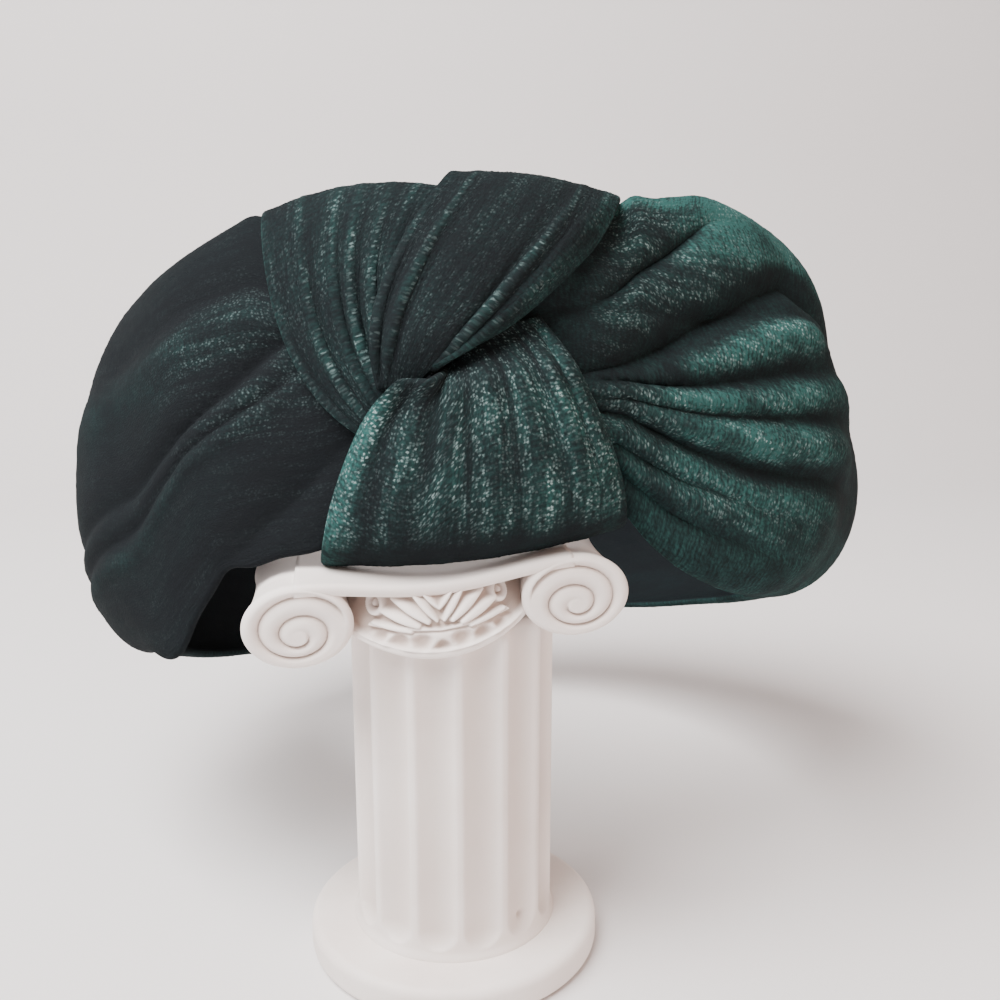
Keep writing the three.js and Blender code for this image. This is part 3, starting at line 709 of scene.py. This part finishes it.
# The first two gathers are hidden under the knot, where they fill the hollow behind its folds.
RIGHT_GATHERS = [
    Gather(0.70, 0.70, -4, 10, 1, 0, 6.4, 0.28, 13),
    Gather(-0.33, -0.33, -4, 10, 1, 0, 5.6, 0.22, 13),
    Gather(0.26, 0.66, 14, 33, 1, 0, -3.2, 0.06, 40),
    Gather(-0.08, 0.43, 14, 48, 1, 0.008, -5.0, 0.08, 105),
    Gather(0.24, 0.31, 36, 50, 1, 0.006, -1.8, 0.03, 80),
    Gather(-0.10, 0.34, 16, 57, 1, 0.004, 1.6, 0.07, 80),
    Gather(-0.14, 0.19, 16, 57, 1, 0, -3.2, 0.05, 72),
    Gather(-0.19, 0.11, 16, 57, 1, 0, 2.6, 0.055, 72),
    Gather(-0.24, 0.04, 16, 57, 1.1, 0, -2.6, 0.045, 74),
    Gather(-0.27, -0.07, 16, 57, 1, 0, 2.4, 0.06, 74),
    Gather(-0.32, -0.185, 16, 57, 1, 0, -3.2, 0.05, 76),
    Gather(-0.50, -0.30, 16, 57, 1.6, 0, 1.5, 0.06, 70),
    Gather(-0.58, -0.37, 16, 42, 1.3, 0, -2.0, 0.04, 58),
    Gather(-0.72, -0.43, 16, 42, 1.2, 0, 1.2, 0.05, 58),
    Gather(-0.76, -0.54, 16, 44, 1, 0, -2.2, 0.06, 64),
]
right_middle, right_height, right_place, right_angle = band_surface(RIGHT_SECTIONS, RIGHT_GATHERS, 1, 5)
# Painted light and shade: lit ridge crests and crown, dark hollows and far flank, a lighter low puff, a
# painted highlight on the front of the hem, a little light at the back, and painted glints
right_valley = 0.43 - 0.015 * np.maximum(48 - right_angle, 0)
right_ridges = (1 - ease(right_place - right_valley, -0.04, 0.04)) * (1 - ease(-right_place, 0.48, 0.64))
right_crest = ease(right_height, -0.8, 1.1)
right_hollow = 1 - ease(right_height, -1.6, -0.4)
right_flank = 1 - ease(right_angle, 38, 70)
right_low = ease(-right_place, 0.3, 0.46)
right_lit = right_ridges * right_crest * right_flank * ease(right_angle, 20, 34) * (1 - right_low)
right_top = ease(right_angle + 20 * ease(right_place, 0.75, 0.95), 24, 38)
right_crown = right_top * ease(right_place, 0.38, 0.58) * right_flank * (1 - right_hollow)
right_shiny = right_ridges * right_crest + 0.6 * (right_place > right_valley)
right_sparkle = ease(right_angle, 13, 20) * right_flank * right_shiny
right_hem_highlight = ease(-right_place, 0.95, 0.99) * (1 - ease(right_angle, 55, 75))
right_back = ease(right_angle, 80, 130)
right_painted_shading = 0.09 + 0.04 * right_back + 0.17 * right_low + 0.7 * right_lit + 1.1 * right_crown
right_painted_shading = np.clip(right_painted_shading + 0.5 * right_hem_highlight, 0, 1.2)
right_glint = 0.02 + 0.08 * right_back + 1.05 * right_sparkle * (1 - right_hollow) - 0.2 * right_crown
right_glint = np.clip(right_glint, 0, 1)
right_band = cloth_piece("velvet_right_band", right_middle, right_painted_shading, right_glint, 100, "right_band")


# Knot, left fold: the strip's upper edge pulled up to the left in tight pleats. It comes out of the
# crossing, lies over the left band and turns in over the band's top edge.
KNOT_BEND = 75
KNOT_SQUARENESS = 2.4
FOLD_NARROWING = 0.35
ROLL_WIDTH = 0.14
ROLL_START, ROLL_FULL, ROLL_FADE = 0.1, 0.45, 0.75
DIVE_LENGTH = 0.3
RIM_PLEAT, RIM_FADE = 0.15, 0.4
EDGE_CROWDING, TIP_CROWDING = 0.6, 1.2
Tip = namedtuple("Tip", "place lift dive")
Pleat = namedtuple("Pleat", "place height width")
Fold = namedtuple("Fold", "left right crown front back end roll tips pleats")
LEFT_FOLD = Fold(
    left=((-20, -16.5), (-35.5, 0.5), (-42, 30.2)),
    right=((-9, -10), (-12, 13), (-2, 31.7)),
    crown=2.9, front=9.4, back=6.5, end=6, roll=(0.8, 0),
    tips=[Tip(0, 0, 0), Tip(1, 0, 0)],
    pleats=[
        Pleat(0.02, 0.6, 0.03), Pleat(0.10, -0.5, 0.04), Pleat(0.22, 0.7, 0.02), Pleat(0.30, -0.6, 0.04),
        Pleat(0.40, 0.6, 0.02), Pleat(0.45, -0.5, 0.025), Pleat(0.51, 0.8, 0.02), Pleat(0.58, -0.6, 0.03),
        Pleat(0.66, 0.7, 0.02), Pleat(0.78, 0.5, 0.025),
    ],
)


def edge_curve(edge, t):
    """Parabola through an edge's tip, middle and rim, as across and up from the knot's centre."""
    tip, middle, rim = (np.array(p, float) for p in edge)
    bend = 2 * middle - (tip + rim) / 2
    t = t[..., None]
    return (1 - t) ** 2 * tip + 2 * t * (1 - t) * bend + t * t * rim


def fold_surface(fold, rows=170, columns=190):
    """Middle surface of a fold of the knot, the height of its pleats, and each point's place across and
    along. The sheet runs from the crossing along its two edge curves to the rim, turns over on a rounded
    square section and ends inside. Pleats and rolled edges ride on its normal."""
    spread = np.linspace(0, 1, rows)[:, None]
    across = spread - EDGE_CROWDING * np.sin(2 * np.pi * spread) / (2 * np.pi)
    way = 2 * np.linspace(0, 1, columns)[None, :] ** TIP_CROWDING
    inside = np.maximum(way - 1, 0)
    t = 1 - (1 - np.minimum(way, 1)) ** 2
    left, right = edge_curve(fold.left, t), edge_curve(fold.right, t)
    crown = fold.crown * 4 * across * (1 - across)
    rim = fold.left[2][1] + (fold.right[2][1] - fold.left[2][1]) * across + crown
    places = [tip.place for tip in fold.tips]
    lift = through(across, places, [tip.lift for tip in fold.tips]) * (1 - t) ** 4
    level_up = left[..., 1] + (right[..., 1] - left[..., 1]) * across + crown * t * t + lift
    up_at = np.where(inside > 0, rim + (fold.end - rim) * inside**2, level_up)
    sideways = (left[..., 0] + (right[..., 0] - left[..., 0]) * across) * (1 - FOLD_NARROWING * inside)

    depth = np.where(inside > 0, -fold.back, fold.front)
    level = np.minimum(np.abs(up_at / rim), 1)
    arch = (1 - level**KNOT_SQUARENESS) ** (1 / KNOT_SQUARENESS)
    power = KNOT_SQUARENESS - 1
    normal = unit(np.stack([arch**power / depth, np.sign(up_at) * level**power / np.abs(rim)], -1))

    dive = through(across, places, [tip.dive for tip in fold.tips]) * (1 - ease(t, 0, DIVE_LENGTH))
    near_left = np.maximum(1 - across / ROLL_WIDTH, 0) ** 2
    near_right = np.maximum(1 - (1 - across) / ROLL_WIDTH, 0) ** 2
    roll = (fold.roll[0] * near_left + fold.roll[1] * near_right) * ease(t, ROLL_START, ROLL_FULL)
    roll = roll * (1 - ease(t, ROLL_FADE, 1))
    pleats = sum(p.height * np.exp(-(((across - p.place) / p.width) ** 2)) for p in fold.pleats)
    pleats = pleats * ease(t, 0, DIVE_LENGTH) * (1 - inside)
    at_rim = 1 - (1 - RIM_PLEAT) * ease(t, RIM_FADE, 1)
    offset = pleats * at_rim - dive - roll
    outward = depth * arch + offset * normal[..., 0] - sideways**2 / (2 * KNOT_BEND)
    upward = up_at + offset * normal[..., 1]
    centre, side, up, out = ring_frame(np.array(0.0))
    surface = centre + sideways[..., None] * side + upward[..., None] * up + outward[..., None] * out
    return surface, pleats, across, t


fold_middle, fold_height, fold_across, _ = fold_surface(LEFT_FOLD)
# Painted highlights: a bright line along the rolled left edge and lighter pleat crests, with painted glints
# on both
fold_edge_highlight = np.exp(-((fold_across / 0.012) ** 2))
fold_line = np.maximum(fold_height, 0)
fold_painted_shading = np.clip(0.05 + 0.08 * fold_line + 0.4 * fold_edge_highlight, 0, 1)
fold_glint = np.clip(0.18 + 0.6 * fold_line**1.5 + 0.4 * fold_edge_highlight, 0, 0.6)
left_fold = cloth_piece("velvet_knot_left_fold", fold_middle, fold_painted_shading, fold_glint, 45, "knot_left_fold")


# Knot, upper fold: the other strip's upper edge, pulled up to the right over the left fold. Its tip is
# tucked behind the corner of the lower fold, and both its side edges are rolled under.
UPPER_FOLD = Fold(
    left=((-19.5, -3.2), (-18, 13), (-5, 35.2)),
    right=((-8.5, -3.2), (11.5, 11), (29.5, 32)),
    crown=1.2, front=14, back=10.5, end=6, roll=(1.8, 4.6),
    tips=[Tip(0, -3.5, 1.9), Tip(0.6, -3.5, 1.9), Tip(0.85, -0.5, 1.2), Tip(1, 0, 0.8)],
    pleats=[
        Pleat(0.03, 0.7, 0.02), Pleat(0.1, -0.6, 0.035), Pleat(0.17, 0.6, 0.02), Pleat(0.25, -0.4, 0.05),
        Pleat(0.5, 0.5, 0.2), Pleat(0.70, -0.6, 0.045), Pleat(0.77, 0.7, 0.02), Pleat(0.84, -0.6, 0.035),
        Pleat(0.92, 0.5, 0.02),
    ],
)
fold_middle, fold_height, fold_across, _ = fold_surface(UPPER_FOLD)
# Painted highlights and glints on the pleat crests beside the middle, and painted light on the right edge,
# which lies in shade
fold_line = np.maximum(fold_height, 0) * ease(np.abs(fold_across - 0.48), 0.18, 0.28)
fold_painted_shading = np.clip(0.03 + 0.06 * fold_line + 0.2 * ease(fold_across, 0.85, 1), 0, 1)
fold_glint = np.clip(0.12 + 0.6 * fold_line**1.5, 0, 0.5)
upper_fold = cloth_piece("velvet_knot_upper_fold", fold_middle, fold_painted_shading, fold_glint, 45, "knot_upper_fold")


# Knot, lower fold: the wide fan that falls from the crossing to the slab and turns in under the band.
# Its left edge is a plump roll with a painted highlight, and its top goes in under the upper fold's right
# edge.
LOWER_FOLD = Fold(
    left=((-15.5, -5), (-23.8, -16.5), (-31.5, -38.6)),
    right=((11.5, 5), (22.5, -12.5), (29.2, -32.3)),
    crown=-2.6, front=14, back=6.5, end=-10, roll=(3.4, 3.4),
    tips=[Tip(0, 0, -1.4), Tip(0.13, -1.2, -1.4), Tip(0.25, -2.2, -1.4), Tip(0.36, 0, 5), Tip(0.5, 4, 6),
          Tip(1, 3, 6)],
    pleats=[
        Pleat(0.04, 1.2, 0.04), Pleat(0.13, -0.8, 0.04), Pleat(0.22, 0.3, 0.03), Pleat(0.30, -0.4, 0.035),
        Pleat(0.38, 0.3, 0.03), Pleat(0.46, -0.3, 0.035), Pleat(0.55, 0.35, 0.03), Pleat(0.63, -0.3, 0.035),
        Pleat(0.71, 0.35, 0.03), Pleat(0.79, -0.4, 0.035), Pleat(0.86, 0.6, 0.03), Pleat(0.91, -0.6, 0.025),
        Pleat(0.96, 0.7, 0.03),
    ],
)
fold_middle, fold_height, fold_across, fold_t = fold_surface(LOWER_FOLD)
# Painted light and shade: painted highlights on the left roll and along the right edge, lighter crests, more
# light lower down and to the right, and the hem in painted shade without glints
rolled_edge_highlight = np.exp(-((fold_across / (0.03 + 0.05 * fold_t)) ** 2)) * ease(fold_t, 0.05, 0.4)
above_hem = 1 - ease(fold_t, 0.86, 0.96)
fold_open = ease(fold_t, 0.1, 0.5)
fold_right = ease(fold_across, 0.5, 0.9)
right_edge_highlight = np.exp(-(((fold_across - 0.93) / 0.03) ** 2))
fold_painted_shading = 0.02 + 0.08 * (fold_open + fold_height) + 0.5 * rolled_edge_highlight + 0.1 * fold_right * fold_open
fold_painted_shading = np.clip(fold_painted_shading + 0.25 * right_edge_highlight, 0, 1.2) * (0.3 + 0.7 * above_hem)
fold_glint = (0.8 + 0.8 * fold_height + 0.4 * fold_right) * (0.5 + 0.5 * fold_open) + 0.4 * right_edge_highlight
fold_glint = np.clip(fold_glint, 0, 1.3) * above_hem
lower_fold = cloth_piece("velvet_knot_lower_fold", fold_middle, fold_painted_shading, fold_glint, 60, "knot_lower_fold")


# Studio: a pale sweep of floor and wall, a large soft light from the left, a weak warm one from the
# right in a room that is warmer there, and a camera where the photograph was taken from.
SWEEP_HALF_WIDTH = 1500
SWEEP_FRONT, SWEEP_BACK = -900, 700
SWEEP_ROUND = 250
SWEEP_HEIGHT = 1600
CAMERA_PLACE = (-0.0087, -0.2161, 0.1467)
CAMERA_PITCH = 12.6
CAMERA_AZIMUTH = 5
LENS, SENSOR = 39.0, 36.0
PAPER_COLOUR = (0.78, 0.76, 0.765, 1)
LIGHT_AIM = (0, 0.03, 0.1)
WINDOW_PLACE, WINDOW_SIZE, WINDOW_WATTS = (-0.4, -0.25, 0.9), 0.7, 29
WINDOW_COLOUR = (1.0, 0.98, 0.96)
FILL_PLACE, FILL_SIZE, FILL_WATTS = (0.6, -0.3, 0.3), 0.5, 1.6
FILL_COLOUR = (1.0, 0.62, 0.45)
ROOM_LEFT, ROOM_RIGHT = (1.0, 0.98, 0.97, 1), (0.66, 0.52, 0.45, 1)
ROOM_TURN = 0.8
ROOM_STRENGTH = 0.62

bend = np.linspace(0, np.pi / 2, 25)
round_y = SWEEP_BACK - SWEEP_ROUND + SWEEP_ROUND * np.sin(bend)
sweep_y = np.concatenate([[SWEEP_FRONT], round_y, [SWEEP_BACK]])
sweep_z = np.concatenate([[0], SWEEP_ROUND - SWEEP_ROUND * np.cos(bend), [SWEEP_HEIGHT]])
sides = np.array([-SWEEP_HALF_WIDTH, SWEEP_HALF_WIDTH])
sweep_points = np.stack(np.broadcast_arrays(sides[None, :], sweep_y[:, None], sweep_z[:, None]), -1)
left, right = np.arange(2 * len(sweep_y)).reshape(-1, 2).T
sweep_faces = np.stack([left[:-1], right[:-1], right[1:], left[1:]], -1)
paper = bpy.data.materials.new("pale_paper")
paper.use_nodes = True
paper_shader = paper.node_tree.nodes["Principled BSDF"]
paper_shader.inputs["Base Color"].default_value = PAPER_COLOUR
paper_shader.inputs["Roughness"].default_value = 0.9
sweep = add_mesh("studio_sweep", sweep_points.reshape(-1, 3), sweep_faces.tolist(), paper)


def soft_light(name, place, aim, size, watts, colour):
    """Square area light at a place, turned to face a point."""
    light = bpy.data.lights.new(name, "AREA")
    light.size = size
    light.energy = watts
    light.color = colour
    lamp = bpy.data.objects.new(name, light)
    bpy.context.scene.collection.objects.link(lamp)
    toward = np.array(aim) - np.array(place)
    lamp.location = place
    flat = np.hypot(toward[0], toward[1])
    lamp.rotation_euler = (np.arctan2(flat, -toward[2]), 0, np.arctan2(-toward[0], toward[1]))


soft_light("window_light", WINDOW_PLACE, LIGHT_AIM, WINDOW_SIZE, WINDOW_WATTS, WINDOW_COLOUR)
soft_light("warm_fill", FILL_PLACE, LIGHT_AIM, FILL_SIZE, FILL_WATTS, FILL_COLOUR)
world = bpy.data.worlds.new("soft_room")
world.use_nodes = True
room, room_links = world.node_tree.nodes, world.node_tree.links
towards = room.new("ShaderNodeSeparateXYZ")
room_links.new(room.new("ShaderNodeTexCoord").outputs["Generated"], towards.inputs["Vector"])
rightness = room.new("ShaderNodeMapRange")
rightness.inputs["From Min"].default_value = -ROOM_TURN
rightness.inputs["From Max"].default_value = ROOM_TURN
room_links.new(towards.outputs["X"], rightness.inputs["Value"])
walls = room.new("ShaderNodeMix")
walls.data_type = "RGBA"
walls.inputs["A"].default_value = ROOM_LEFT
walls.inputs["B"].default_value = ROOM_RIGHT
room_links.new(rightness.outputs["Result"], walls.inputs["Factor"])
room_links.new(walls.outputs["Result"], room["Background"].inputs["Color"])
room["Background"].inputs["Strength"].default_value = ROOM_STRENGTH
bpy.context.scene.world = world

camera = bpy.data.objects.new("camera", bpy.data.cameras.new("camera"))
bpy.context.scene.collection.objects.link(camera)
camera.location = CAMERA_PLACE
camera.rotation_euler = (np.radians(90 - CAMERA_PITCH), 0, np.radians(-CAMERA_AZIMUTH))
camera.data.lens = LENS
camera.data.sensor_width = SENSOR
camera.data.clip_start = 0.01
bpy.context.scene.camera = camera
